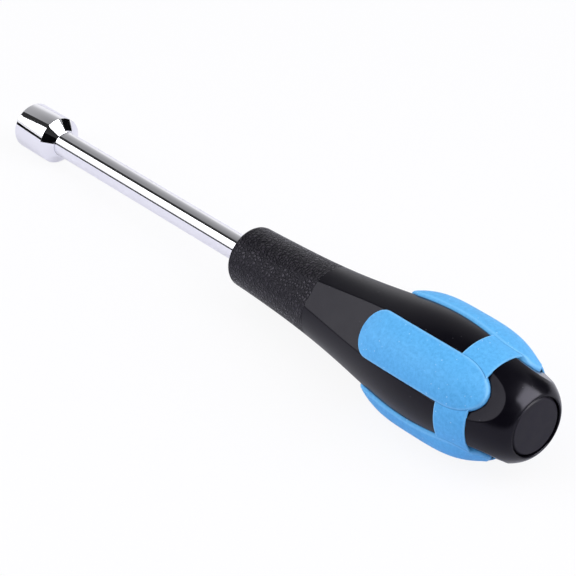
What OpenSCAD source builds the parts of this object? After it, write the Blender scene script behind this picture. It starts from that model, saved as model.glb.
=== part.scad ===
// Nut driver: a chromed hexagon socket on a round shank, held in a black
// moulded handle with a soft grip of four pads and a band, and an end cap.
// The drive axis is X. X = 0 is the socket's mouth and +X runs to the tail.

/* [Socket] */
// Width across flats of the nut that it turns
nut_flats = 8; // [6:0.5:9]
// Extra width of the hexagon over the nut
hex_clearance = 0.1; // [0.05:0.05:0.3]
// Depth of the hexagon behind the mouth
hex_depth = 7; // [5:0.5:8]
// Lead-in chamfer of the hexagon at the mouth
hex_lead = 0.5; // [0.2:0.1:0.8]
// Diameter of the hole that clears the end of a bolt
stud_hole_d = 6.2; // [4:0.1:6.6]
// Depth of that hole behind the hexagon
stud_hole_depth = 4; // [2:0.5:5]
// Outside diameter
socket_d = 13.3; // [11.5:0.1:15]
// Length of the straight outside
socket_len = 12.3; // [10:0.5:16]
// Length of the conical shoulder behind it
shoulder_len = 2.6; // [1.5:0.1:5]
// Wall that the shoulder leaves around the shank
shoulder_lip = 0.25; // [0.1:0.05:0.6]
// Radius of the outer edge at the mouth
mouth_edge_r = 0.5; // [0.2:0.1:0.8]

/* [Shank] */
// Diameter of the round bar
shank_d = 7.3; // [5.5:0.1:8.5]
// Distance from the socket's mouth to the front of the handle
blade_len = 96.5; // [60:0.5:200]
// Length of bar held inside the handle
shank_grip = 62; // [40:1:66]
// Width over the two swaged wings that stop the bar turning
wing_w = 11; // [9:0.5:13]
// Thickness of the wings
wing_t = 4; // [2.5:0.1:5]
// Length of the wings
wing_len = 12; // [6:1:16]
// Distance from the wings to the end of the bar
wing_setback = 4; // [2:0.5:8]

/* [Handle] */
// Length of the handle
handle_len = 104; // [96:0.1:125]
// Diameter at the front collar
collar_d = 16.9; // [15:0.1:20]
// Radius of the collar's front edge
collar_edge_r = 1; // [0.5:0.1:2]
// Largest diameter of the round body
belly_d = 31.2; // [28:0.1:36]
// Distance from the largest diameter to the tail
belly_to_tail = 30.5; // [27:0.1:36]
// Depth of the four flats below the round body at the belly
flat_depth = 1.45; // [0.8:0.05:2]
// Height of the flats above the collar at the front, before they run in
flat_run_in = 0.2; // [0:0.05:0.4]
// Distance across the flats where they reach the tail
tail_flats = 21.7; // [20:0.1:25]
// Width of the ring of plastic around the end cap
tail_rim = 0.3; // [0.2:0.1:1.5]

/* [Soft grip] */
// Distance across two opposite pads
grip_d = 34.5; // [33:0.1:40]
// Width of a pad
pad_w = 13; // [10:0.1:14]
// Length of a pad
pad_len = 42.2; // [38:0.1:50]
// Distance from a pad's rear end to the tail
pad_to_tail = 7.8; // [5:0.1:9]
// Length of the rounding at a pad's front end
pad_front_round = 5.8; // [4:0.1:8]
// Length of the rounding at a pad's rear end
pad_rear_round = 10; // [6:0.1:12]
// Height of a pad's edge above the flat
pad_edge = 0.8; // [0.4:0.1:1.4]
// Depth of a pad's seat below the flat at the belly
pad_root = 2.9; // [2:0.1:4]
// Width of the band that joins the pads
band_w = 9; // [6:0.1:12]
// Distance from the band's rear edge to the tail
band_to_tail = 10.3; // [9:0.1:14]
// Height of the band above the round body
band_proud = 0.3; // [0.1:0.05:0.6]
// Depth of the band's seat below the largest radius
band_root = 3.2; // [2.6:0.1:4]

/* [End cap] */
// Diameter of the disc
cap_d = 15.1; // [13:0.1:17]
// Thickness of the disc
cap_t = 2; // [1.5:0.1:3]
// Depth of its face below the tail
cap_recess = 0.2; // [0:0.1:1]
// Open gap around the disc
cap_gap = 0.35; // [0.1:0.05:0.6]
// Chamfer of the disc's edge
cap_chamfer = 0.4; // [0.2:0.1:0.8]
// Outside diameter of the spigot that plugs the cored hollow
spigot_d = 12; // [10:0.1:12.4]
// Wall of the spigot
spigot_wall = 1.5; // [1:0.1:2]
// Length of the spigot
spigot_len = 7; // [4:0.5:10]
// Depth of the cored hollow in the handle's rear
core_depth = 30; // [15:0.5:34]

/* [Fits] */
// Gap at each face where plastic is moulded onto a piece
mould_gap = 0.03; // [0.01:0.01:0.05]
// Gap around the end cap's spigot in the hollow
spigot_gap = 0.05; // [0.02:0.01:0.1]

/* [Hidden] */
$fn = 96;
overrun = 1;

// Steps along the curves of the handle, and across a pad's crown
neck_steps = 14;
rear_steps = 14;
round_steps = 6;
crown_steps = 8;
edge_steps = 6;
// Widest turn of a pad's end, short of its tip, in degrees
tip_angle = 80;
pad_count = 4;
first_pad_angle = 45;

// How far each end of a curve keeps its direction, as a share of its length
neck_lead_share = 0.58;
neck_swell_share = 0.153;
flat_lead_share = 0.636;
flat_swell_share = 0.089;
belly_lead_share = 0.245;
flat_belly_lead_share = 0.217;
rear_lead_share = 0.445;
rear_shoulder_share = 0.625;
rear_lag_share = 0.071;
tail_flat_lead_share = 0.385;
tail_flat_lag_share = 0.29;
// How a pad's crown falls away towards its ends
crown_power = 3.5;

hex_flats = nut_flats + hex_clearance;
hex_corner_r = hex_flats / 2 / cos(30);
socket_r = socket_d / 2;
shank_r = shank_d / 2;
shank_start = hex_depth + stud_hole_depth;
shank_end = blade_len + shank_grip;
handle_end = blade_len + handle_len;
collar_r = collar_d / 2;
belly_r = belly_d / 2;
belly_x = handle_len - belly_to_tail;
belly_flat = belly_r - flat_depth;
grip_r = grip_d / 2;
cap_r = cap_d / 2;
cap_hole_r = cap_r + cap_gap;
cap_hole_depth = cap_recess + cap_t;
tail_r = cap_hole_r + tail_rim;
spigot_r = spigot_d / 2;
core_r = spigot_r + spigot_gap;
pad_end_x = handle_len - pad_to_tail;
pad_start_x = pad_end_x - pad_len;
pad_floor = belly_flat - pad_root;
band_end_x = handle_len - band_to_tail;
band_start_x = band_end_x - band_w;
band_inner_r = belly_r - band_root;

function bezier(p, u) =
    pow(1 - u, 3) * p[0] + 3 * u * pow(1 - u, 2) * p[1] + 3 * u * u * (1 - u) * p[2] + pow(u, 3) * p[3];

function curve(p, steps) = [for (i = [0:steps]) bezier(p, i / steps)];

// Height at x of a line of points that runs along +X
function height_at(line, x) = lookup(x, line);

neck_run = belly_x - collar_edge_r;

// Outline of the round body: distance from the front, then radius
neck_line = curve([
    [collar_edge_r, collar_r],
    [collar_edge_r + neck_lead_share * neck_run, collar_r + neck_swell_share * (belly_r - collar_r)],
    [belly_x - belly_lead_share * neck_run, belly_r],
    [belly_x, belly_r]
], neck_steps);

rear_line = curve([
    [belly_x, belly_r],
    [belly_x + rear_lead_share * belly_to_tail, belly_r],
    [handle_len - rear_lag_share * belly_to_tail, tail_r + rear_shoulder_share * (belly_r - tail_r)],
    [handle_len, tail_r]
], rear_steps);

// Height of a flat along the handle
flat_start = collar_r + flat_run_in;
flat_line = concat(
    curve([
        [collar_edge_r, flat_start],
        [collar_edge_r + flat_lead_share * neck_run, flat_start + flat_swell_share * (belly_flat - flat_start)],
        [belly_x - flat_belly_lead_share * neck_run, belly_flat],
        [belly_x, belly_flat]
    ], neck_steps),
    [for (i = [1:rear_steps]) bezier([
        [belly_x, belly_flat],
        [belly_x + tail_flat_lead_share * belly_to_tail, belly_flat],
        [handle_len - tail_flat_lag_share * belly_to_tail, tail_flats / 2],
        [handle_len, tail_flats / 2]
    ], i / rear_steps)]
);

// Places of points as [x, r], turned to the [r, z] that a revolved outline takes
function turned(line) = [for (p = line) [p[1], p[0]]];

module along_x() {
    rotate([0, 90, 0]) children();
}

module rod_x(r, start, end) {
    translate([start, 0, 0]) along_x() cylinder(r = r, h = end - start);
}

module block_x(start, end, width, height) {
    translate([(start + end) / 2, 0, 0]) cube([end - start, width, height], center = true);
}

module around_pads() {
    for (i = [0:pad_count - 1]) {
        rotate([first_pad_angle + i * 360 / pad_count, 0, 0]) children();
    }
}

// Forged socket: hexagon, bolt clearance and the seat of the shank
module socket() {
    mouth_arc = [for (i = [0:edge_steps])
        [socket_r - mouth_edge_r, mouth_edge_r]
            + mouth_edge_r * [sin(90 * i / edge_steps), -cos(90 * i / edge_steps)]];
    color("silver") difference() {
        along_x() rotate_extrude() polygon(concat(
            [[0, 0]],
            mouth_arc,
            [
                [socket_r, socket_len],
                [shank_r + shoulder_lip, socket_len + shoulder_len],
                [0, socket_len + shoulder_len]
            ]
        ));
        translate([-overrun, 0, 0]) along_x() cylinder(r = hex_corner_r, h = hex_depth + overrun, $fn = 6);
        along_x() cylinder(r1 = hex_corner_r + hex_lead / 2, r2 = hex_corner_r - hex_lead / 2, h = hex_lead);
        rod_x(stud_hole_d / 2, hex_depth - overrun, shank_start + overrun);
        rod_x(shank_r + mould_gap, shank_start, socket_len + shoulder_len + overrun);
    }
}

// Space of the bar, grown by a gap on every face
module shank_space(gap) {
    wing_end = shank_end - wing_setback;
    rod_x(shank_r + gap, shank_start, shank_end + gap);
    block_x(wing_end - wing_len - gap, wing_end + gap, wing_w + 2 * gap, wing_t + 2 * gap);
}

// Round bar with two wings near its tail
module shank() {
    color("gainsboro") shank_space(0);
}

// Round body of the handle without its flats
module round_body() {
    front_arc = [for (i = [0:edge_steps - 1])
        [collar_r - collar_edge_r, collar_edge_r]
            + collar_edge_r * [sin(90 * i / edge_steps), -cos(90 * i / edge_steps)]];
    rear_points = [for (i = [1:rear_steps]) rear_line[i]];
    along_x() rotate_extrude() polygon(concat(
        [[0, 0]],
        front_arc,
        turned(neck_line),
        turned(rear_points),
        [[0, handle_len]]
    ));
}

// What is cut away above one flat, whose face looks along +Z
module flat_cut() {
    top = belly_r + overrun;
    rotate([90, 0, 0]) linear_extrude(height = belly_d, center = true) polygon(concat(
        flat_line,
        [[handle_len + overrun, tail_flats / 2], [handle_len + overrun, top], [collar_edge_r, top]]
    ));
}

// Stations along a pad grown by a gap: distance from the handle's front, then half width
function pad_stations(gap) = let (
        half = pad_w / 2 + gap,
        front = pad_front_round + gap,
        rear = pad_rear_round + gap,
        straight = pad_len - pad_front_round - pad_rear_round
    ) concat(
        [for (i = [0:round_steps]) let (angle = tip_angle * (1 - i / round_steps))
            [pad_start_x - gap + front * (1 - sin(angle)), half * cos(angle)]],
        [for (i = [1:round_steps - 1])
            [pad_start_x + pad_front_round + straight * i / round_steps, half]],
        [for (i = [0:round_steps]) let (angle = tip_angle * i / round_steps)
            [pad_end_x + gap - rear * (1 - sin(angle)), half * cos(angle)]]
    );

// Height of a pad's edge, and of its crown, above the axis at x
function pad_edge_height(x) = height_at(flat_line, x) + pad_edge;
function pad_crown_height(x) = let (
        tip_x = x < belly_x ? pad_start_x : pad_end_x,
        away = abs((x - belly_x) / (tip_x - belly_x))
    ) grip_r - (grip_r - pad_edge_height(tip_x)) * pow(min(away, 1), crown_power);

// One ring of points around a pad at a station: along the crown, then the root
function pad_ring(station) = let (
        x = station[0],
        half = station[1],
        edge = pad_edge_height(x),
        rise = max(pad_crown_height(x) - edge, 0)
    ) concat(
        [for (i = [0:crown_steps]) let (across = 2 * i / crown_steps - 1)
            [x, across * half, edge + rise * (1 - across * across)]],
        [[x, half, pad_floor], [x, -half, pad_floor]]
    );

// A pad whose crown looks along +Z, as a skin over its rings
module pad() {
    rings = [for (s = pad_stations(0)) pad_ring(s)];
    count = len(rings[0]);
    last = len(rings) - 1;
    sides = [for (i = [0:last - 1], j = [0:count - 1]) let (
            a = i * count + j,
            b = i * count + (j + 1) % count
        ) each [[a, b, a + count], [b, b + count, a + count]]];
    front = [for (j = [0:count - 3]) [count - 1, j + 1, j]];
    rear = [for (f = front) [for (k = [0, 2, 1]) last * count + f[k]]];
    polyhedron(points = [for (r = rings) each r], faces = concat(sides, front, rear), convexity = 4);
}

// Seat of a pad: its outline grown by the moulding gap, open above
module pad_seat() {
    stations = pad_stations(mould_gap);
    outline = concat(stations, [for (i = [len(stations) - 1:-1:0]) [stations[i][0], -stations[i][1]]]);
    translate([0, 0, pad_floor - mould_gap]) linear_extrude(height = grip_r) polygon(outline);
}

// Ring between two places along the handle, out to past the body
module band_space(inner_r, start, end) {
    difference() {
        rod_x(belly_r + overrun, start, end);
        rod_x(inner_r, start - overrun, end + overrun);
    }
}

// Black moulding around the shank
module handle_body() {
    color("#26252b") difference() {
        translate([blade_len, 0, 0]) difference() {
            round_body();
            around_pads() flat_cut();
            around_pads() pad_seat();
            band_space(band_inner_r - mould_gap, band_start_x - mould_gap, band_end_x + mould_gap);
            rod_x(cap_hole_r, handle_len - cap_hole_depth, handle_len + overrun);
            rod_x(core_r, handle_len - core_depth, handle_len);
        }
        shank_space(mould_gap);
    }
}

// Band that joins the pads, raised a little above the round body
module band() {
    band_line = [for (i = [0:rear_steps])
        let (x = band_start_x + band_w * i / rear_steps)
        [height_at(rear_line, x) + band_proud, x]];
    along_x() rotate_extrude() polygon(concat(
        [[band_inner_r, band_start_x]],
        band_line,
        [[band_inner_r, band_end_x]]
    ));
}

// Soft grip: four crowned pads and the band, moulded in one
module soft_grip() {
    color("#5ab0f5") translate([blade_len, 0, 0]) {
        band();
        around_pads() pad();
    }
}

// Disc that closes the hollow, on a hollow spigot
module end_cap() {
    face = handle_end - cap_recess;
    seat = handle_end - cap_hole_depth;
    color("#36343e") difference() {
        along_x() rotate_extrude() polygon([
            [0, seat - spigot_len],
            [spigot_r, seat - spigot_len],
            [spigot_r, seat],
            [cap_r, seat],
            [cap_r, face - cap_chamfer],
            [cap_r - cap_chamfer, face],
            [0, face]
        ]);
        rod_x(spigot_r - spigot_wall, seat - spigot_len - overrun, seat);
    }
}

socket();
shank();
handle_body();
soft_grip();
end_cap();
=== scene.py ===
import math

import bmesh
import bpy
import numpy as np
from mathutils import Matrix, Vector


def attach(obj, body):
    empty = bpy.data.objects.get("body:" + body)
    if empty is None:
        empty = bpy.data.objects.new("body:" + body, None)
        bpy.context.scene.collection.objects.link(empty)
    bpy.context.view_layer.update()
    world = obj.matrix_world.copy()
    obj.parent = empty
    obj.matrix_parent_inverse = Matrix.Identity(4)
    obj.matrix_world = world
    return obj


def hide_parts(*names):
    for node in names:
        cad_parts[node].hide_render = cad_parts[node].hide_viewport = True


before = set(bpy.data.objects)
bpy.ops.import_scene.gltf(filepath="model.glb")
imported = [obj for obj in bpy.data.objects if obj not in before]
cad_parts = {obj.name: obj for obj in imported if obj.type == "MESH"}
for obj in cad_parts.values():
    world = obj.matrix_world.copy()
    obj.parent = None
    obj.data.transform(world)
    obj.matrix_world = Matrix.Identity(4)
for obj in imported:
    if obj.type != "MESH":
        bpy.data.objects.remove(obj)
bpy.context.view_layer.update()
print("frame loaded:", ", ".join(sorted(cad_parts)))

mm = 0.001  # the tool's sizes are in millimetres, the drive axis is X


def linear(hexColour):  # sRGB hex to linear RGBA
    parts = [int(hexColour[i:i + 2], 16) / 255 for i in (1, 3, 5)]
    return [c / 12.92 if c <= 0.04045 else ((c + 0.055) / 1.055) ** 2.4 for c in parts] + [1.0]


def addNode(tree, kind, settings=None, inputs=None):  # an input takes a value, or a socket to link to
    node = tree.nodes.new(kind)
    for name, value in (settings or {}).items():
        setattr(node, name, value)
    for socket, value in (inputs or {}).items():
        if isinstance(value, bpy.types.NodeSocket):
            tree.links.new(value, node.inputs[socket])
        else:
            node.inputs[socket].default_value = value
    return node


def newMaterial(name, plain):  # a Principled surface with its plain values on its own sockets
    material = bpy.data.materials.new(name)
    material.use_nodes = True
    tree = material.node_tree
    tree.nodes.clear()
    surface = addNode(tree, "ShaderNodeBsdfPrincipled", inputs=plain)
    addNode(tree, "ShaderNodeOutputMaterial", inputs={"Surface": surface.outputs[0]})
    return material, tree, surface


noiseLow, noiseHigh = 0.3, 0.7  # most of a noise texture's values lie between these

# bright chrome plate over polished steel: a mirror with faint draw lines along the bar and soft smudges
chromeLook = {"colour": "#F1F1F4", "smudged": "#E8E8EE", "lineWidth": 0.25, "lineLength": 30.0,
              "lineDepth": 0.002, "smudge": 7.0, "cleanRough": 0.03, "smudgeRough": 0.09}
look = chromeLook
chrome, tree, surface = newMaterial("brightChromePlate", {"Metallic": 1.0})
place = addNode(tree, "ShaderNodeTexCoord").outputs["Object"]
acrossLines = 1 / (look["lineWidth"] * mm)
drawn = addNode(tree, "ShaderNodeMapping", inputs={
    "Vector": place, "Scale": (1 / (look["lineLength"] * mm), acrossLines, acrossLines)})
lines = addNode(tree, "ShaderNodeTexNoise", inputs={
    "Vector": drawn.outputs[0], "Scale": 1.0, "Detail": 2.0})
smudge = addNode(tree, "ShaderNodeTexNoise", inputs={
    "Vector": place, "Scale": 1 / (look["smudge"] * mm), "Detail": 3.0})
both = addNode(tree, "ShaderNodeMath", {"operation": "MULTIPLY"}, {
    0: lines.outputs[0], 1: smudge.outputs[0]})
dull = addNode(tree, "ShaderNodeMapRange", inputs={
    "Value": both.outputs[0], "From Min": 0.1, "From Max": 0.5,
    "To Min": look["cleanRough"], "To Max": look["smudgeRough"]})
tint = addNode(tree, "ShaderNodeMapRange", {"data_type": "FLOAT_VECTOR"}, {
    "Vector": smudge.outputs[0], "To Min": linear(look["smudged"])[:3], "To Max": linear(look["colour"])[:3]})
relief = addNode(tree, "ShaderNodeBump", inputs={
    "Height": lines.outputs[0], "Strength": 0.15, "Distance": look["lineDepth"] * mm})
tree.links.new(tint.outputs["Vector"], surface.inputs["Base Color"])
tree.links.new(dull.outputs[0], surface.inputs["Roughness"])
tree.links.new(relief.outputs[0], surface.inputs["Normal"])

# gloss black polypropylene, moulded: half-soft reflections, a spark-eroded grain on the front third with
# painted sparkle on its tops, dust
# the grain is drawn in cells of 1 mm, so that it shows in the render
plasticLook = {"colour": "#0B0A10", "glint": "#F0EDFF", "paintedSparkle": "#343138", "dustColour": "#77757C",
               "grain": 1.0, "worm": 0.8, "grainDepth": 0.13, "grainEnd": 128.5, "ragged": 1.0, "fade": 0.06,
               "hollowRough": 0.4, "topRough": 0.1, "flow": 4.0, "flowDepth": 0.05,
               "glossRough": 0.17, "satinRough": 0.25, "dust": 2.6, "dustCover": 0.35}
look = plasticLook
blackPlastic, tree, surface = newMaterial("glossBlackPolypropylene", {
    "IOR": 1.49, "Specular IOR Level": 0.2, "Specular Tint": linear(look["glint"])})
place = addNode(tree, "ShaderNodeTexCoord").outputs["Object"]
along = addNode(tree, "ShaderNodeSeparateXYZ", inputs={0: place})
cells = addNode(tree, "ShaderNodeTexVoronoi", {"feature": "DISTANCE_TO_EDGE"}, {
    "Vector": place, "Scale": 1 / (look["grain"] * mm), "Randomness": 1.0})
raised = addNode(tree, "ShaderNodeMapRange", {"interpolation_type": "SMOOTHSTEP"}, {
    "Value": cells.outputs[0], "From Min": 0.0, "From Max": 0.3, "To Min": 0.0, "To Max": 0.7})
worms = addNode(tree, "ShaderNodeTexNoise", inputs={
    "Vector": place, "Scale": 1 / (look["worm"] * mm), "Detail": 2.5, "Roughness": 0.6})
ragged = addNode(tree, "ShaderNodeMath", {"operation": "MULTIPLY_ADD"}, {
    0: worms.outputs[0], 1: look["ragged"] * mm, 2: along.outputs["X"]})
grainStop = look["grainEnd"] + look["ragged"] / 2
grainZone = addNode(tree, "ShaderNodeMapRange", inputs={
    "Value": ragged.outputs[0], "From Min": (grainStop - look["fade"]) * mm,
    "From Max": (grainStop + look["fade"]) * mm, "To Min": 1.0, "To Max": 0.0})
rough = addNode(tree, "ShaderNodeMath", {"operation": "ADD"}, {0: raised.outputs[0], 1: worms.outputs[0]})
grain = addNode(tree, "ShaderNodeMath", {"operation": "MULTIPLY"}, {
    0: rough.outputs[0], 1: grainZone.outputs[0]})
grainBump = addNode(tree, "ShaderNodeBump", inputs={
    "Height": grain.outputs[0], "Strength": 1.0, "Distance": look["grainDepth"] * mm})
flow = addNode(tree, "ShaderNodeTexNoise", inputs={
    "Vector": place, "Scale": 1 / (look["flow"] * mm), "Detail": 4.0})
flowBump = addNode(tree, "ShaderNodeBump", inputs={
    "Height": flow.outputs[0], "Strength": 0.12, "Distance": look["flowDepth"] * mm,
    "Normal": grainBump.outputs[0]})
dustCells = addNode(tree, "ShaderNodeTexVoronoi", inputs={
    "Vector": place, "Scale": 1 / (look["dust"] * mm), "Randomness": 1.0})
dust = addNode(tree, "ShaderNodeMapRange", inputs={
    "Value": dustCells.outputs["Distance"], "From Min": 0.03, "From Max": 0.05,
    "To Min": look["dustCover"], "To Max": 0.0})
dusty = addNode(tree, "ShaderNodeMix", {"data_type": "RGBA"}, {
    "Factor": dust.outputs[0], "A": linear(look["colour"]), "B": linear(look["dustColour"])})
# the grain's tops are painted lighter, as painted sparkle
grainTops = addNode(tree, "ShaderNodeMapRange", {"interpolation_type": "SMOOTHSTEP"}, {
    "Value": cells.outputs[0], "From Min": 0.16, "From Max": 0.36, "To Min": 0.0, "To Max": 1.0})
zoneTops = addNode(tree, "ShaderNodeMath", {"operation": "MULTIPLY"}, {
    0: grainTops.outputs[0], 1: grainZone.outputs[0]})
paintedSparkleTone = addNode(tree, "ShaderNodeMix", {"data_type": "RGBA"}, {
    "Factor": zoneTops.outputs[0], "A": dusty.outputs["Result"], "B": linear(look["paintedSparkle"])})
smoothRough = addNode(tree, "ShaderNodeMapRange", inputs={
    "Value": flow.outputs[0], "From Min": noiseLow, "From Max": noiseHigh,
    "To Min": look["glossRough"], "To Max": look["satinRough"]})
grainRough = addNode(tree, "ShaderNodeMapRange", inputs={
    "Value": grainTops.outputs[0], "To Min": look["hollowRough"], "To Max": look["topRough"]})
gloss = addNode(tree, "ShaderNodeMix", {"data_type": "FLOAT"}, {
    "Factor": grainZone.outputs[0], "A": smoothRough.outputs[0], "B": grainRough.outputs[0]})
tree.links.new(paintedSparkleTone.outputs["Result"], surface.inputs["Base Color"])
tree.links.new(gloss.outputs["Result"], surface.inputs["Roughness"])
tree.links.new(flowBump.outputs[0], surface.inputs["Normal"])

# thermoplastic rubber, moulded matte: soft mottled blue, pale lint, a painted highlight along the edges and
# painted shade in the creases
rubberLook = {"colour": "#5DB5F0", "deep": "#499EDE", "paleEdgeHighlight": "#8CCBFB", "paintedShade": "#2C6FB0",
              "lintColour": "#BFE2FC", "lint": 1.9, "lintCover": 0.6, "cloud": 0.9, "skin": 0.35,
              "skinDepth": 0.03, "smoothRough": 0.55, "dryRough": 0.66}
look = rubberLook
blueRubber, tree, surface = newMaterial("blueThermoplasticRubber", {
    "IOR": 1.48, "Specular IOR Level": 0.3, "Sheen Weight": 0.05, "Sheen Roughness": 0.4})
place = addNode(tree, "ShaderNodeTexCoord").outputs["Object"]
cloud = addNode(tree, "ShaderNodeTexNoise", inputs={
    "Vector": place, "Scale": 1 / (look["cloud"] * mm), "Detail": 5.0, "Roughness": 0.75})
mottle = addNode(tree, "ShaderNodeMapRange", inputs={
    "Value": cloud.outputs[0], "From Min": 0.34, "From Max": 0.66})
mottled = addNode(tree, "ShaderNodeMix", {"data_type": "RGBA"}, {
    "Factor": mottle.outputs[0], "A": linear(look["deep"]), "B": linear(look["colour"])})
# a pale line painted along the pad and band edges, as a painted highlight on their rounding
edgeHighlightAt = addNode(tree, "ShaderNodeAttribute", {"attribute_name": "paintedEdgeHighlight"})
paleEdgeHighlight = addNode(tree, "ShaderNodeMix", {"data_type": "RGBA"}, {
    "Factor": edgeHighlightAt.outputs["Fac"], "A": mottled.outputs["Result"], "B": linear(look["paleEdgeHighlight"])})
# darker blue painted at the pads' foot and on the band beside the pads, as painted shade in the creases
paintedShadeAt = addNode(tree, "ShaderNodeAttribute", {"attribute_name": "paintedCreaseShade"})
withPaintedShade = addNode(tree, "ShaderNodeMix", {"data_type": "RGBA"}, {
    "Factor": paintedShadeAt.outputs["Fac"], "A": paleEdgeHighlight.outputs["Result"], "B": linear(look["paintedShade"])})
lintCells = addNode(tree, "ShaderNodeTexVoronoi", inputs={
    "Vector": place, "Scale": 1 / (look["lint"] * mm), "Randomness": 1.0})
lint = addNode(tree, "ShaderNodeMapRange", inputs={
    "Value": lintCells.outputs["Distance"], "From Min": 0.05, "From Max": 0.10,
    "To Min": look["lintCover"], "To Max": 0.0})
linty = addNode(tree, "ShaderNodeMix", {"data_type": "RGBA"}, {
    "Factor": lint.outputs[0], "A": withPaintedShade.outputs["Result"], "B": linear(look["lintColour"])})
skin = addNode(tree, "ShaderNodeTexNoise", inputs={
    "Vector": place, "Scale": 1 / (look["skin"] * mm), "Detail": 2.0})
skinBump = addNode(tree, "ShaderNodeBump", inputs={
    "Height": skin.outputs[0], "Strength": 0.25, "Distance": look["skinDepth"] * mm})
matte = addNode(tree, "ShaderNodeMapRange", inputs={
    "Value": cloud.outputs[0], "From Min": noiseLow, "From Max": noiseHigh,
    "To Min": look["smoothRough"], "To Max": look["dryRough"]})
tree.links.new(linty.outputs["Result"], surface.inputs["Base Color"])
tree.links.new(matte.outputs[0], surface.inputs["Roughness"])
tree.links.new(skinBump.outputs[0], surface.inputs["Normal"])

# filled ABS disc with a fine matte face: dark grey, dull, slightly mottled
discLook = {"colour": "#0F0D17", "pale": "#171420", "grit": 0.3, "gritDepth": 0.03, "mottle": 3.0,
            "smoothRough": 0.42, "dryRough": 0.55}
look = discLook
matteDisc, tree, surface = newMaterial("matteBlackAbs", {"IOR": 1.52, "Specular IOR Level": 0.17})
place = addNode(tree, "ShaderNodeTexCoord").outputs["Object"]
grit = addNode(tree, "ShaderNodeTexNoise", inputs={
    "Vector": place, "Scale": 1 / (look["grit"] * mm), "Detail": 2.0})
mottle = addNode(tree, "ShaderNodeTexNoise", inputs={
    "Vector": place, "Scale": 1 / (look["mottle"] * mm), "Detail": 3.0})
faceTone = addNode(tree, "ShaderNodeMix", {"data_type": "RGBA"}, {
    "Factor": mottle.outputs[0], "A": linear(look["colour"]), "B": linear(look["pale"])})
matte = addNode(tree, "ShaderNodeMapRange", inputs={
    "Value": mottle.outputs[0], "From Min": noiseLow, "From Max": noiseHigh,
    "To Min": look["smoothRough"], "To Max": look["dryRough"]})
gritBump = addNode(tree, "ShaderNodeBump", inputs={
    "Height": grit.outputs[0], "Strength": 0.3, "Distance": look["gritDepth"] * mm})
tree.links.new(faceTone.outputs["Result"], surface.inputs["Base Color"])
tree.links.new(matte.outputs[0], surface.inputs["Roughness"])
tree.links.new(gritBump.outputs[0], surface.inputs["Normal"])
print("materials:", ", ".join(m.name for m in (chrome, blackPlastic, blueRubber, matteDisc)))

# one sector of a piece, repeated round the drive axis, welded and given its material
aroundAxis = bpy.data.node_groups.new("sectorsAroundAxis", "GeometryNodeTree")
aroundAxis.is_modifier = True
aroundAxis.interface.new_socket("Geometry", in_out="INPUT", socket_type="NodeSocketGeometry")
aroundInputs = {name: aroundAxis.interface.new_socket(name, in_out="INPUT", socket_type=kind).identifier
                for name, kind in (("Count", "NodeSocketInt"), ("First Angle", "NodeSocketFloat"),
                                   ("Weld Distance", "NodeSocketFloat"), ("Material", "NodeSocketMaterial"))}
aroundAxis.interface.new_socket("Geometry", in_out="OUTPUT", socket_type="NodeSocketGeometry")
given = addNode(aroundAxis, "NodeGroupInput").outputs
step = addNode(aroundAxis, "ShaderNodeMath", {"operation": "DIVIDE"}, {0: 2 * math.pi, 1: given["Count"]})
sectorIndex = addNode(aroundAxis, "GeometryNodeInputIndex").outputs[0]
turn = addNode(aroundAxis, "ShaderNodeMath", {"operation": "MULTIPLY_ADD"}, {
    0: sectorIndex, 1: step.outputs[0], 2: given["First Angle"]})
spin = addNode(aroundAxis, "ShaderNodeCombineXYZ", inputs={"X": turn.outputs[0]})
spinRotation = addNode(aroundAxis, "FunctionNodeEulerToRotation", inputs={0: spin.outputs[0]})
axisPoints = addNode(aroundAxis, "GeometryNodePoints", inputs={"Count": given["Count"]})
sectors = addNode(aroundAxis, "GeometryNodeInstanceOnPoints", inputs={
    "Points": axisPoints.outputs[0], "Instance": given["Geometry"], "Rotation": spinRotation.outputs[0]})
real = addNode(aroundAxis, "GeometryNodeRealizeInstances", inputs={"Geometry": sectors.outputs[0]})
welded = addNode(aroundAxis, "GeometryNodeMergeByDistance", inputs={
    "Geometry": real.outputs[0], "Distance": given["Weld Distance"]})
painted = addNode(aroundAxis, "GeometryNodeSetMaterial", inputs={
    "Geometry": welded.outputs[0], "Material": given["Material"]})
addNode(aroundAxis, "NodeGroupOutput", inputs={0: painted.outputs[0]})


def gridFaces(rows, columns, loop=False):  # quads over rows of points; loop joins the last row to the first
    faces = []
    for i in range(rows if loop else rows - 1):
        a, b = i * columns, (i + 1) % rows * columns
        faces += [(a + j, a + j + 1, b + j + 1, b + j) for j in range(columns - 1)]
    return faces


def ringFaces(rings, columns, first=0):  # quads between closed rings of points
    faces = []
    for i in range(rings - 1):
        a, b = first + i * columns, first + (i + 1) * columns
        faces += [(a + j, a + (j + 1) % columns, b + (j + 1) % columns, b + j) for j in range(columns)]
    return faces


weldDistance = 0.002


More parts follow.
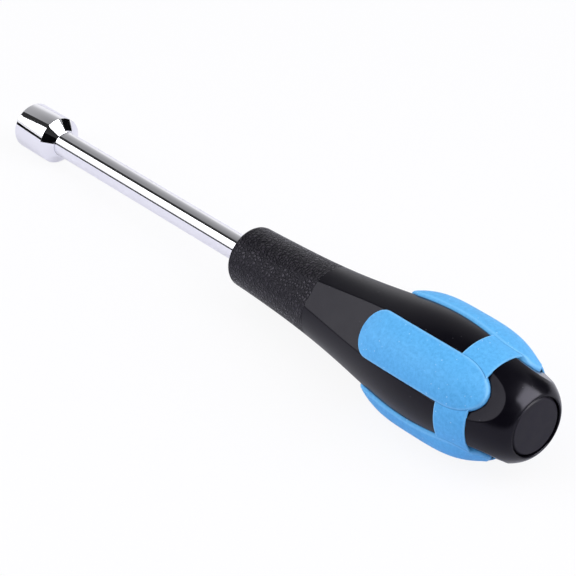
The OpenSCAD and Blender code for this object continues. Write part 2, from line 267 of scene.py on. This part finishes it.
# a piece from one sector of it: the tree repeats the sector, and the result is kept as a plain mesh
def aroundPiece(name, points, faces, material, count, firstAngle=0, sharp=35, marks=None):
    mesh = bpy.data.meshes.new(name + "Sector")
    mesh.from_pydata((np.asarray(points) * mm).tolist(), [], faces)
    for mark, values in (marks or {}).items():
        mesh.attributes.new(mark, "FLOAT", "POINT").data.foreach_set("value", np.asarray(values, np.float32))
    piece = bpy.data.objects.new(name, mesh)
    bpy.context.scene.collection.objects.link(piece)
    modifier = piece.modifiers.new("around", "NODES")
    modifier.node_group = aroundAxis
    for socket, value in (("Count", count), ("First Angle", math.radians(firstAngle)),
                          ("Weld Distance", weldDistance * mm), ("Material", material)):
        modifier[aroundInputs[socket]] = value
    bpy.context.view_layer.update()
    made = bpy.data.meshes.new_from_object(piece.evaluated_get(bpy.context.evaluated_depsgraph_get()))
    piece.modifiers.remove(modifier)
    piece.data = made
    made.name = name
    bpy.data.meshes.remove(mesh)
    work = bmesh.new()
    work.from_mesh(made)
    bmesh.ops.dissolve_degenerate(work, dist=1e-7, edges=work.edges)
    bmesh.ops.recalc_face_normals(work, faces=work.faces)
    work.to_mesh(made)
    work.free()
    made.shade_smooth()
    made.set_sharp_from_angle(angle=math.radians(sharp))
    return piece


def finishPiece(piece, node):
    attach(piece, "root")
    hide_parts(node)
    print(piece.name, "made:", len(piece.data.polygons), "faces")


def bezier(points, steps):
    u = np.linspace(0, 1, steps + 1)[:, None]
    p = np.array(points, float)
    return (1 - u) ** 3 * p[0] + 3 * u * (1 - u) ** 2 * p[1] + 3 * u * u * (1 - u) * p[2] + u ** 3 * p[3]


def roundedLine(corners, radii, steps=5):  # a line of points whose corners are turned by small arcs
    line = [np.array(corners[0], float)]
    for before, corner, after, radius in zip(corners, corners[1:], corners[2:], radii):
        corner = np.array(corner, float)
        a, b = np.array(before) - corner, np.array(after) - corner
        a, b = a / np.linalg.norm(a), b / np.linalg.norm(b)
        half = math.acos(max(-1, min(1, float(a @ b)))) / 2
        reach = radius / math.tan(half)
        middle = corner + (a + b) / np.linalg.norm(a + b) * radius / math.sin(half)
        start, end = corner + a * reach - middle, corner + b * reach - middle
        bend = math.pi - 2 * half
        for share in np.linspace(0, 1, steps + 1):
            arm = start * math.sin((1 - share) * bend) + end * math.sin(share * bend)
            line.append(middle + arm / math.sin(bend))
    line.append(np.array(corners[-1], float))
    return line


def turnedRow(x, radii, angles):  # points of one section, its angle taken from +Z
    radii = np.broadcast_to(radii, angles.shape)
    return np.stack([np.full(angles.shape, float(x)), radii * np.sin(angles), radii * np.cos(angles)], axis=1)


# socket: turned outside with a conical shoulder, hexagon with a countersunk mouth, bored for the bar
socketSizes = {"radius": 6.65, "straight": 12.3, "shoulder": 2.6, "lip": 3.9, "bore": 3.68, "barFront": 11.0,
               "flats": 6, "hexFlat": 4.05, "hexDepth": 7.0, "hexLead": 0.5, "studRadius": 3.1,
               "mouthEdge": 0.5, "shoulderEdge": 0.12, "lipEdge": 0.06}
size = socketSizes
halfFlat = 180 / size["flats"]  # degrees from the middle of a flat to its corner
angles = np.radians(np.linspace(-halfFlat, halfFlat, 23))
hexCorner = size["hexFlat"] / math.cos(math.radians(halfFlat))
hexWall = size["hexFlat"] / np.cos(angles)
rearX = size["straight"] + size["shoulder"]
outside = roundedLine(
    [(0, hexCorner + size["hexLead"]), (0, size["radius"]), (size["straight"], size["radius"]),
     (rearX, size["lip"]), (rearX, size["bore"])],
    [size["mouthEdge"], size["shoulderEdge"], size["lipEdge"]])
inside = [(size["barFront"], size["bore"]), (size["barFront"], size["studRadius"]),
          (size["hexDepth"], size["studRadius"]), (size["hexDepth"], hexWall)]
rows = [turnedRow(x, r, angles) for x, r in outside + inside]
for share in np.linspace(1, 0, 7):  # the countersink cuts the hexagon's corners near the mouth
    cone = hexCorner + size["hexLead"] / 2 - share * size["hexLead"]
    rows.append(turnedRow(share * size["hexLead"], np.maximum(hexWall, cone), angles))
socketPiece = aroundPiece("socket_head", np.concatenate(rows), gridFaces(len(rows), len(angles), loop=True),
                          chrome, count=size["flats"], firstAngle=halfFlat, sharp=28)
finishPiece(socketPiece, "socket")

# shank: round bar with eased ends and two swaged wings inside the handle
shankSizes = {"front": 11.0, "end": 158.5, "radius": 3.65, "ease": 0.2, "rings": (60.0, 100.0),
              "wingHalfWidth": 5.5, "wingHalfThick": 2.0, "wingFront": 142.5, "wingEnd": 154.5}
size = shankSizes
angles = np.radians(np.linspace(-90, 90, 61))
wing = np.minimum(size["wingHalfWidth"] / np.maximum(np.abs(np.sin(angles)), 1e-6),
                  size["wingHalfThick"] / np.maximum(np.abs(np.cos(angles)), 1e-6))
wing = np.maximum(wing, size["radius"])
easedRadius = size["radius"] - size["ease"]
bar = [(size["front"], 0), (size["front"], easedRadius), (size["front"] + size["ease"], size["radius"])]
bar += [(x, size["radius"]) for x in size["rings"]]
bar += [(size["wingFront"], size["radius"]), (size["wingFront"], wing), (size["wingEnd"], wing),
        (size["wingEnd"], size["radius"]), (size["end"] - size["ease"], size["radius"]),
        (size["end"], easedRadius), (size["end"], 0)]
rows = [turnedRow(x, r, angles) for x, r in bar]
shankPiece = aroundPiece("shank_bar", np.concatenate(rows), gridFaces(len(rows), len(angles)),
                         chrome, count=2)
finishPiece(shankPiece, "shank")

# handle: slim collar, swelling neck with four flats, domed tail; places run from the handle's front
# a lead, lag, swell or shoulder is a share that bends the outline
handleSizes = {"front": 96.5, "length": 104.0, "collar": 8.45, "collarEdge": 1.0, "faceRing": 5.6,
               "belly": 15.6, "bellyAt": 73.5, "neckLead": 0.58, "neckSwell": 0.153, "bellyLead": 0.245,
               "rearLead": 0.445, "rearShoulder": 0.625, "rearLag": 0.071, "tail": 8.2,
               "flatStart": 8.65, "flatBelly": 14.15, "flatTail": 10.85, "flatEdge": 0.13, "flatLead": 0.636,
               "flatSwell": 0.089, "flatBellyLead": 0.217, "tailFlatLead": 0.385, "tailFlatLag": 0.29,
               "capHole": 7.9, "capHoleDepth": 2.2, "core": 6.05, "coreDepth": 30.0,
               "barHole": 3.68, "barLead": 0.15, "barDepth": 62.03,
               "wingRoom": 5.95, "wingFront": 45.97, "wingEnd": 58.03,
               "seatDrop": 0.4, "seatMargin": 0.25, "seatRamp": 0.35}
handleMesh = {"neckSteps": 150, "rearSteps": 80, "neckRows": 146, "flatColumns": 11, "edgeColumns": 9,
              "roundColumns": 12, "edgeSpan": 2.2, "edgeShare": 0.4, "leastEdge": 4, "roundEdge": 25}
# the soft grip's sizes stand here too, because the handle has its seats
gripSizes = {"padFront": 54.0, "padRear": 96.2, "halfWidth": 6.5, "frontRound": 5.8, "rearRound": 10.0,
             "crown": 17.25, "crownPower": 3.5, "edgeHeight": 0.8, "edgeRound": 0.5, "sink": 0.2,
             "foot": 0.06, "cleanWall": 0.2,
             "bandFront": 84.7, "bandRear": 93.7, "bandProud": 0.3, "bandEdge": 0.13, "bandFoot": 0.02,
             "cornerFillet": 0.3, "overBand": 0.12, "tuck": 0.45, "crease": 0.28,
             "tipRound": 1.1, "tipStart": 0.2, "tipRun": 1.4}
size = handleSizes
neckRun = size["bellyAt"] - size["collarEdge"]
rearRun = size["length"] - size["bellyAt"]
neckLine = bezier([
    (size["collarEdge"], size["collar"]),
    (size["collarEdge"] + size["neckLead"] * neckRun,
     size["collar"] + size["neckSwell"] * (size["belly"] - size["collar"])),
    (size["bellyAt"] - size["bellyLead"] * neckRun, size["belly"]),
    (size["bellyAt"], size["belly"])], handleMesh["neckSteps"])
rearLine = bezier([
    (size["bellyAt"], size["belly"]),
    (size["bellyAt"] + size["rearLead"] * rearRun, size["belly"]),
    (size["length"] - size["rearLag"] * rearRun,
     size["tail"] + size["rearShoulder"] * (size["belly"] - size["tail"])),
    (size["length"], size["tail"])], handleMesh["rearSteps"])
neckFlat = bezier([
    (size["collarEdge"], size["flatStart"]),
    (size["collarEdge"] + size["flatLead"] * neckRun,
     size["flatStart"] + size["flatSwell"] * (size["flatBelly"] - size["flatStart"])),
    (size["bellyAt"] - size["flatBellyLead"] * neckRun, size["flatBelly"]),
    (size["bellyAt"], size["flatBelly"])], handleMesh["neckSteps"])
rearFlat = bezier([
    (size["bellyAt"], size["flatBelly"]),
    (size["bellyAt"] + size["tailFlatLead"] * rearRun, size["flatBelly"]),
    (size["length"] - size["tailFlatLag"] * rearRun, size["flatTail"]),
    (size["length"], size["flatTail"])], handleMesh["rearSteps"])
roundLine = np.concatenate([neckLine, rearLine[1:]])
flatLine = np.concatenate([neckFlat, rearFlat[1:]])


def roundAt(t):
    return np.interp(t, roundLine[:, 0], roundLine[:, 1])


def flatAt(t):
    return np.interp(t, flatLine[:, 0], flatLine[:, 1])


def padHalfAt(t):  # half width of a pad's outline
    grip = gripSizes
    front = np.clip((grip["padFront"] + grip["frontRound"] - t) / grip["frontRound"], 0, 1)
    rear = np.clip((t - grip["padRear"] + grip["rearRound"]) / grip["rearRound"], 0, 1)
    return grip["halfWidth"] * np.sqrt(1 - np.maximum(front, rear) ** 2)


def sectionAngles(edge):  # angles across a quarter, close together at the flat's two edges
    edge = max(edge, math.radians(handleMesh["leastEdge"]))
    near = min(math.radians(handleMesh["edgeSpan"]), handleMesh["edgeShare"] * edge)
    half = np.concatenate([
        np.linspace(0, edge - near, handleMesh["flatColumns"])[:-1],
        np.linspace(edge - near, edge + near, handleMesh["edgeColumns"])[:-1],
        np.linspace(edge + near, math.pi / 4, handleMesh["roundColumns"])])
    return np.concatenate([-half[:0:-1], half])


def handleRow(t, roundRadius):  # a section cut by the flats, with the seat under the soft grip
    size, grip = handleSizes, gripSizes
    flat = float(flatAt(t))
    angles = sectionAngles(math.acos(min(flat / roundRadius, 1.0)))
    cut = flat / np.cos(angles)
    blend = np.maximum(size["flatEdge"] - np.abs(cut - roundRadius), 0)
    radii = np.minimum(cut, roundRadius) - blend ** 2 / (4 * size["flatEdge"])
    across = np.abs(radii * np.sin(angles))
    inPad = 0
    if grip["padFront"] < t < grip["padRear"]:
        inPad = np.clip((padHalfAt(t) - across - size["seatMargin"]) / size["seatRamp"], 0, 1)
    toBandEdge = min(t - grip["bandFront"], grip["bandRear"] - t)
    inBand = np.clip((toBandEdge - size["seatMargin"]) / size["seatRamp"], 0, 1)
    radii = radii - size["seatDrop"] * np.maximum(inPad, inBand)
    return turnedRow(size["front"] + t, radii, angles)


def handleRound(t, radius):  # a round section with as many points as a cut one
    return turnedRow(handleSizes["front"] + t, radius, sectionAngles(math.radians(handleMesh["roundEdge"])))


rows = [handleRound(t, r) for t, r in (
    (size["barDepth"], 0), (size["barDepth"], size["barHole"]),
    (size["wingEnd"], size["barHole"]), (size["wingEnd"], size["wingRoom"]),
    (size["wingFront"], size["wingRoom"]), (size["wingFront"], size["barHole"]),
    (size["barLead"], size["barHole"]), (0, size["barHole"] + size["barLead"]), (0, size["faceRing"]))]
for a in np.radians(np.linspace(0, 90, 9)[:-1]):  # rounded front of the collar
    rows.append(handleRound(size["collarEdge"] * (1 - math.cos(a)),
                            size["collar"] - size["collarEdge"] * (1 - math.sin(a))))
rows += [handleRow(t, float(roundAt(t)))
         for t in np.linspace(size["collarEdge"], size["bellyAt"], handleMesh["neckRows"])]
rows += [handleRow(min(t, size["length"] - 1e-6), r) for t, r in rearLine[1:]]
lip = size["tail"] - size["capHole"]
for a in np.radians(np.linspace(0, 90, 7)[1:]):  # lip of the cap's hole
    rows.append(handleRound(size["length"] - lip + lip * math.cos(a), size["tail"] - lip * math.sin(a)))
holeFloor, coreFloor = size["length"] - size["capHoleDepth"], size["length"] - size["coreDepth"]
rows += [handleRound(t, r) for t, r in (
    (holeFloor, size["capHole"]), (holeFloor, size["core"]), (coreFloor, size["core"]), (coreFloor, 0))]
handlePiece = aroundPiece("handle_moulding", np.concatenate(rows), gridFaces(len(rows), len(rows[0])),
                          blackPlastic, count=4, firstAngle=45, sharp=50)
finishPiece(handlePiece, "handle_body")

# soft grip: one crowned pad and a quarter of the band, repeated four times
# strengths and places of the soft grip's painted edge highlight and painted crease shade
gripPaintedLight = {"padEdge": 0.4, "padEdgeAt": 0.25, "padEdgeSpread": 0.2, "bandFront": 0.7, "bandRear": 0.3,
            "wallPaintedShade": 0.8, "footPaintedShade": 0.5, "bandPaintedShade": 0.8, "bandPaintedShadeReach": 0.72, "bandPaintedShadeFade": 0.35}
gripMesh = {"turnSteps": 25, "straightSteps": 61, "bandColumns": 60, "bandSteps": 22, "bendSteps": 6,
            "insets": (0, 0.02, 0.06, 0.12, 0.2, 0.3, 0.4, 0.5, 0.75, 1.1, 1.45),
            "shares": (0.75, 0.65, 0.55, 0.45, 0.35, 0.25, 0.16, 0.08, 0.0)}
grip = gripSizes
front, rear = grip["padFront"] + grip["frontRound"], grip["padRear"] - grip["rearRound"]
turns = np.radians(np.linspace(0, 90, gripMesh["turnSteps"]))
straight = np.linspace(front, rear, gripMesh["straightSteps"])
sideLine = np.concatenate([
    np.stack([front - grip["frontRound"] * np.cos(turns), grip["halfWidth"] * np.sin(turns)], 1)[:-1],
    np.stack([straight, np.full(len(straight), grip["halfWidth"])], 1),
    np.stack([rear + grip["rearRound"] * np.sin(turns), grip["halfWidth"] * np.cos(turns)], 1)[1:]])
outline = np.concatenate([sideLine, (sideLine * (1, -1))[-2:0:-1]])
spine = np.stack([np.clip(outline[:, 0], front, rear), np.zeros(len(outline))], 1)
reach = np.linalg.norm(outline - spine, axis=1)


def padHeight(t, w):  # height of a pad's top over the axis
    edge = flatAt(t) + grip["edgeHeight"]
    bandTop = np.sqrt((roundAt(t) + grip["bandProud"]) ** 2 - padHalfAt(t) ** 2)
    lift = np.maximum(bandTop + grip["overBand"] - edge, 0)
    edge = edge + np.where(t > grip["bandFront"], lift, 0)  # clear of the band
    bellyAt = handleSizes["bellyAt"]
    tip = np.where(t < bellyAt, grip["padFront"], grip["padRear"])
    away = np.clip(np.abs((t - bellyAt) / (tip - bellyAt)), 0, 1)
    crown = grip["crown"] - (grip["crown"] - flatAt(tip) - grip["edgeHeight"]) * away ** grip["crownPower"]
    share = np.clip(np.abs(w) / np.maximum(padHalfAt(t), 1e-6), 0, 1)
    return edge + np.maximum(crown - edge, 0) * (1 - share ** 2)


padRows, padEdgeHighlight, padPaintedShade = [], [], []


def addPadRow(flatPlace, height, edgeHighlight, paintedShade):
    padRows.append(np.stack([handleSizes["front"] + flatPlace[:, 0], flatPlace[:, 1], height], 1))
    padEdgeHighlight.append(np.full(len(height), edgeHighlight))
    padPaintedShade.append(np.full(len(height), paintedShade))


seat = flatAt(outline[:, 0])
underside = np.minimum(seat, flatAt(spine[:, 0])) - grip["sink"]
addPadRow(spine, underside, 0, 0)
# painted shade at the foot of the pad's wall
addPadRow(outline, seat - grip["sink"], 0, gripPaintedLight["wallPaintedShade"])
addPadRow(outline, seat + grip["foot"], 0, gripPaintedLight["footPaintedShade"])
addPadRow(outline, seat + grip["cleanWall"], 0, 0)
for inset in gripMesh["insets"]:  # rounded edge, rounder behind the band
    place = outline + (spine - outline) * (inset / reach)[:, None]
    past = np.clip((place[:, 0] - grip["bandRear"] - grip["tipStart"]) / grip["tipRun"], 0, 1)
    edgeRound = grip["edgeRound"] + grip["tipRound"] * past * past * (3 - 2 * past)
    drop = edgeRound - np.sqrt(edgeRound ** 2 - np.maximum(edgeRound - inset, 0) ** 2)
    # painted highlight along the edge's rounding
    edgeHighlight = gripPaintedLight["padEdge"] * math.exp(-((inset - gripPaintedLight["padEdgeAt"]) / gripPaintedLight["padEdgeSpread"]) ** 2)
    addPadRow(place, padHeight(place[:, 0], place[:, 1]) - drop, edgeHighlight, 0)
for share in gripMesh["shares"]:  # crowned top, in to the spine
    place = spine + (outline - spine) * share
    addPadRow(place, padHeight(place[:, 0], place[:, 1]), 0, 0)
padFaces = ringFaces(len(padRows), len(outline))


def bandPath(rearEdge):  # place, height over the handle and painted edge highlight, once round the band's section
    edge, low, high = grip["bandEdge"], grip["bandFront"], grip["bandProud"]
    bend = np.radians(np.linspace(0, 90, gripMesh["bendSteps"]))
    along = np.linspace(low, rearEdge, gripMesh["bandSteps"])[1:-1]
    path = [(low, -grip["sink"], 0), (low, grip["bandFoot"], 0)]
    path += [(low + edge * (1 - math.cos(a)), high - edge * (1 - math.sin(a)), gripPaintedLight["bandFront"])
             for a in bend]
    path += [(t, high, 0) for t in along]
    path += [(rearEdge - edge * (1 - math.sin(a)), high - edge * (1 - math.cos(a)), gripPaintedLight["bandRear"])
             for a in bend]
    path += [(rearEdge, grip["bandFoot"], 0), (rearEdge, -grip["sink"], 0)]
    return path + [(t, -grip["sink"], 0) for t in along[::-1]]


bandPoints, bandEdgeHighlight, bandPaintedShade = [], [], []
rearRadius = float(roundAt(grip["bandRear"]))
bandArc = rearRadius * (math.pi / 2 - 2 * math.asin(float(padHalfAt(grip["bandRear"])) / rearRadius))
bandShares = 0.5 - 0.5 * np.cos(np.linspace(0, math.pi, gripMesh["bandColumns"]))  # close beside the pads
for share in bandShares:
    toPad = min(share, 1 - share) * bandArc
    fillet = grip["cornerFillet"]
    inFillet = min(max(fillet + grip["crease"] - toPad, 0), fillet)
    rearEdge = grip["bandRear"] + fillet - math.sqrt(fillet ** 2 - inFillet ** 2)
    # painted shade on the band, darkest beside the pads
    paintedShadeShare = (gripPaintedLight["bandPaintedShadeReach"] - toPad) / gripPaintedLight["bandPaintedShadeFade"]
    paintedShade = gripPaintedLight["bandPaintedShade"] * max(0, min(1, paintedShadeShare))
    for t, proud, edgeHighlight in bandPath(rearEdge):
        radius = float(roundAt(t)) + proud
        tucked = math.asin(max(float(padHalfAt(t)) - grip["tuck"], 0) / radius)
        angle = tucked + share * (math.pi / 2 - 2 * tucked)
        bandPoints.append((handleSizes["front"] + t, radius * math.sin(angle), radius * math.cos(angle)))
        bandEdgeHighlight.append(edgeHighlight)
        bandPaintedShade.append(paintedShade if proud == grip["bandProud"] else 0)
first = len(padRows) * len(outline)
last = first + len(bandPoints)
section = len(bandPoints) // len(bandShares)
bandFaces = ringFaces(len(bandShares), section, first)
bandFaces += [tuple(range(first, first + section)), tuple(range(last - section, last))]
# the painted edge highlight and painted crease shade go with the grip's points as attributes
gripMarks = {"paintedEdgeHighlight": np.concatenate(padEdgeHighlight + [bandEdgeHighlight]),
             "paintedCreaseShade": np.concatenate(padPaintedShade + [bandPaintedShade])}
gripPiece = aroundPiece("soft_grip_moulding", np.concatenate(padRows + [bandPoints]), padFaces + bandFaces,
                        blueRubber, count=4, firstAngle=45, sharp=60, marks=gripMarks)
finishPiece(gripPiece, "soft_grip")

# end cap: chamfered disc on a hollow spigot, its face a little below the tail
capSizes = {"face": 200.3, "seat": 198.3, "radius": 7.55, "chamfer": 0.4, "spigot": 6.0, "wall": 1.5,
            "spigotEnd": 191.3, "spigotEdge": 0.1, "faceEdge": 0.08}
size = capSizes
angles = np.radians(np.linspace(-22.5, 22.5, 17))
capLine = roundedLine(
    [(size["seat"], 0), (size["seat"], size["spigot"] - size["wall"]),
     (size["spigotEnd"], size["spigot"] - size["wall"]), (size["spigotEnd"], size["spigot"]),
     (size["seat"], size["spigot"]), (size["seat"], size["radius"]),
     (size["face"] - size["chamfer"], size["radius"]), (size["face"], size["radius"] - size["chamfer"]),
     (size["face"], 0)],
    [size["spigotEdge"]] * 5 + [size["faceEdge"]] * 2)
rows = [turnedRow(x, r, angles) for x, r in capLine]
capPiece = aroundPiece("end_disc", np.concatenate(rows), gridFaces(len(rows), len(angles)),
                       matteDisc, count=8)
finishPiece(capPiece, "end_cap")

# stage, lamps, cards and camera are in metres
# stage: pale sweep under the tool, tilted so that the head's rim and the handle both touch it
stageSizes = {"radius": 1.8, "sides": 96, "middle": 0.1, "slope": 0.0535, "under": 0.00666}
around = np.linspace(0, 2 * math.pi, stageSizes["sides"], endpoint=False)
sweepRim = [(stageSizes["radius"] * math.cos(a), stageSizes["radius"] * math.sin(a), 0) for a in around]
sweepMesh = bpy.data.meshes.new("paleSweep")
sweepMesh.from_pydata(sweepRim, [], [tuple(range(len(sweepRim)))])
sweepDrop = stageSizes["under"] + stageSizes["middle"] * stageSizes["slope"]
sweepMesh.transform(Matrix.Translation((stageSizes["middle"], 0, -sweepDrop))
                    @ Matrix.Rotation(math.atan(stageSizes["slope"]), 4, "Y"))
sweep = bpy.data.objects.new("pale_sweep", sweepMesh)
bpy.context.scene.collection.objects.link(sweep)

# matte paper, white to the eye and pale in the chrome, with the shadow kept
paperLook = {"colour": "#EAE9F8", "toEye": 0.9, "inMirrors": 0.3}
paper = bpy.data.materials.new("palePaperSweep")
paper.use_nodes = True
tree = paper.node_tree
tree.nodes.clear()
rays = addNode(tree, "ShaderNodeLightPath").outputs
mirrored = addNode(tree, "ShaderNodeMath", {"operation": "MAXIMUM"}, {
    0: rays["Is Glossy Ray"], 1: rays["Is Transmission Ray"]})
inMirrors = addNode(tree, "ShaderNodeMath", {"operation": "MULTIPLY"}, {
    0: mirrored.outputs[0], 1: paperLook["inMirrors"]})
weight = addNode(tree, "ShaderNodeMath", {"operation": "MULTIPLY_ADD"}, {
    0: rays["Is Camera Ray"], 1: paperLook["toEye"], 2: inMirrors.outputs[0]})
lit = addNode(tree, "ShaderNodeBsdfDiffuse", inputs={"Color": linear(paperLook["colour"])})
glow = addNode(tree, "ShaderNodeEmission", inputs={"Color": linear("#FFFFFF"), "Strength": 1.0})
mixed = addNode(tree, "ShaderNodeMixShader", inputs={
    0: weight.outputs[0], 1: lit.outputs[0], 2: glow.outputs[0]})
addNode(tree, "ShaderNodeOutputMaterial", inputs={"Surface": mixed.outputs[0]})
sweepMesh.materials.append(paper)

# room above the sweep: pale low at the back, dark overhead and on the camera's side; white to the eye
roomLook = {"stops": ((0.0, 1.1), (0.25, 0.95), (0.42, 0.55), (0.72, 0.30), (0.80, 0.06), (1.0, 0.04)),
            "cool": 1.02, "nearSide": (0.75, -0.66, 0.0), "nearFrom": 0.2, "nearTo": 0.6, "nearLevel": 0.08}
world = bpy.data.worlds.new("studioRoom")
bpy.context.scene.world = world
world.use_nodes = True
tree = world.node_tree
tree.nodes.clear()
heading = addNode(tree, "ShaderNodeTexCoord").outputs["Generated"]
height = addNode(tree, "ShaderNodeSeparateXYZ", inputs={0: heading})
ramp = addNode(tree, "ShaderNodeValToRGB", inputs={0: height.outputs["Z"]})
while len(ramp.color_ramp.elements) < len(roomLook["stops"]):
    ramp.color_ramp.elements.new(0.5)
for element, (at, level) in zip(ramp.color_ramp.elements, roomLook["stops"]):
    element.position = at
    element.color = (level, level, level * roomLook["cool"], 1)
nearSide = addNode(tree, "ShaderNodeVectorMath", {"operation": "DOT_PRODUCT"}, {
    0: heading, 1: roomLook["nearSide"]})
openSide = addNode(tree, "ShaderNodeMapRange", inputs={
    "Value": nearSide.outputs["Value"], "From Min": roomLook["nearFrom"], "From Max": roomLook["nearTo"],
    "To Min": 1.0, "To Max": roomLook["nearLevel"]})
sky = addNode(tree, "ShaderNodeBackground", inputs={
    "Color": ramp.outputs[0], "Strength": openSide.outputs[0]})
white = addNode(tree, "ShaderNodeBackground", inputs={"Color": linear("#FFFFFF"), "Strength": 1.0})
eyeRay = addNode(tree, "ShaderNodeLightPath").outputs["Is Camera Ray"]
shown = addNode(tree, "ShaderNodeMixShader", inputs={0: eyeRay, 1: sky.outputs[0], 2: white.outputs[0]})
addNode(tree, "ShaderNodeOutputWorld", inputs={"Surface": shown.outputs[0]})

aim = Vector((0.12, 0, 0))


def standFacing(item, toward, far):  # put it out along a direction, facing the tool
    toward = Vector(toward).normalized()
    item.location = aim + toward * far
    item.rotation_euler = (-toward).to_track_quat("-Z", "Y").to_euler()
    bpy.context.scene.collection.objects.link(item)


# lamps: a softbox low on the left, one on the right and one overhead; power is set from the wanted brightness
lampSizes = {"leftSoftbox": {"toward": (-0.57, -0.63, 0.52), "far": 1.1, "size": (1.12, 0.6), "bright": 2.6},
             "rightSoftbox": {"toward": (0.73, 0.29, 0.62), "far": 1.0, "size": (0.7, 0.9), "bright": 3.5},
             "topSoftbox": {"toward": (0.10, -0.30, 0.95), "far": 1.1, "size": (1.1, 1.1), "bright": 1.5}}
for name, lamp in lampSizes.items():
    light = bpy.data.lights.new(name, "AREA")
    light.shape = "RECTANGLE"
    light.size, light.size_y = lamp["size"]
    light.energy = lamp["bright"] * math.pi * light.size * light.size_y
    lampObject = bpy.data.objects.new(name, light)
    standFacing(lampObject, lamp["toward"], lamp["far"])
    lampObject.visible_glossy = False

# cards that only reflections see: two bright fronts, and dark flags for the dark of the room
cardSizes = {"left_card": {"toward": (-0.57, -0.63, 0.52), "far": 1.1, "size": (1.12, 0.6), "bright": 2.7},
             "right_card": {"toward": (0.72, 0.34, 0.60), "far": 1.0, "size": (0.86, 0.92), "bright": 9.6},
             "left_flag": {"toward": (-0.65, -0.76, 0.05), "far": 1.3, "size": (1.8, 0.30), "bright": 0},
             "near_flag": {"toward": (0.62, -0.78, 0.25), "far": 1.35, "size": (2.0, 0.9), "bright": 0},
             "far_flag": {"toward": (0.31, 0.90, 0.29), "far": 1.3, "size": (0.95, 0.95), "bright": 0},
             "edge_flag": {"toward": (-0.725, -0.16, 0.67), "far": 1.05, "size": (0.25, 0.6), "bright": 0.03}}
for name, card in cardSizes.items():
    wide, high = (v / 2 for v in card["size"])
    cardMesh = bpy.data.meshes.new(name)
    cardMesh.from_pydata([(-wide, -high, 0), (wide, -high, 0), (wide, high, 0), (-wide, high, 0)],
                         [], [(0, 1, 2, 3)])
    cloth, tree, surface = newMaterial(name + "Cloth", {
        "Base Color": linear("#0A0A0B"), "Roughness": 1.0, "Specular IOR Level": 0.0,
        "Emission Color": linear("#FFFFFF"), "Emission Strength": card["bright"]})
    cardMesh.materials.append(cloth)
    cardObject = bpy.data.objects.new(name, cardMesh)
    standFacing(cardObject, card["toward"], card["far"])
    for way in ("visible_camera", "visible_diffuse", "visible_shadow"):
        setattr(cardObject, way, False)

# camera: fitted to the blade's edges and the rim of the end cap
cameraFit = {"place": (0.543054, -0.342753, 0.373816), "right": (0.652545, 0.755242, -0.061593),
             "up": (-0.394627, 0.408104, 0.823238), "ahead": (-0.646880, 0.512894, -0.564345),
             "focalPixels": 2590.62, "framePixels": 576, "sensorWidth": 36.0, "near": 0.05, "far": 20}
camera = bpy.data.objects.new("photoCamera", bpy.data.cameras.new("photoCamera"))
camera.data.sensor_width = cameraFit["sensorWidth"]
camera.data.lens = cameraFit["sensorWidth"] * cameraFit["focalPixels"] / cameraFit["framePixels"]
camera.data.clip_start, camera.data.clip_end = cameraFit["near"], cameraFit["far"]
axes = Matrix((cameraFit["right"], cameraFit["up"], [-v for v in cameraFit["ahead"]])).transposed()
camera.matrix_world = Matrix.Translation(cameraFit["place"]) @ axes.to_4x4()
bpy.context.scene.collection.objects.link(camera)
bpy.context.scene.camera = camera
bpy.context.scene.view_settings.view_transform = "Standard"
print("stage, lamps and camera set")
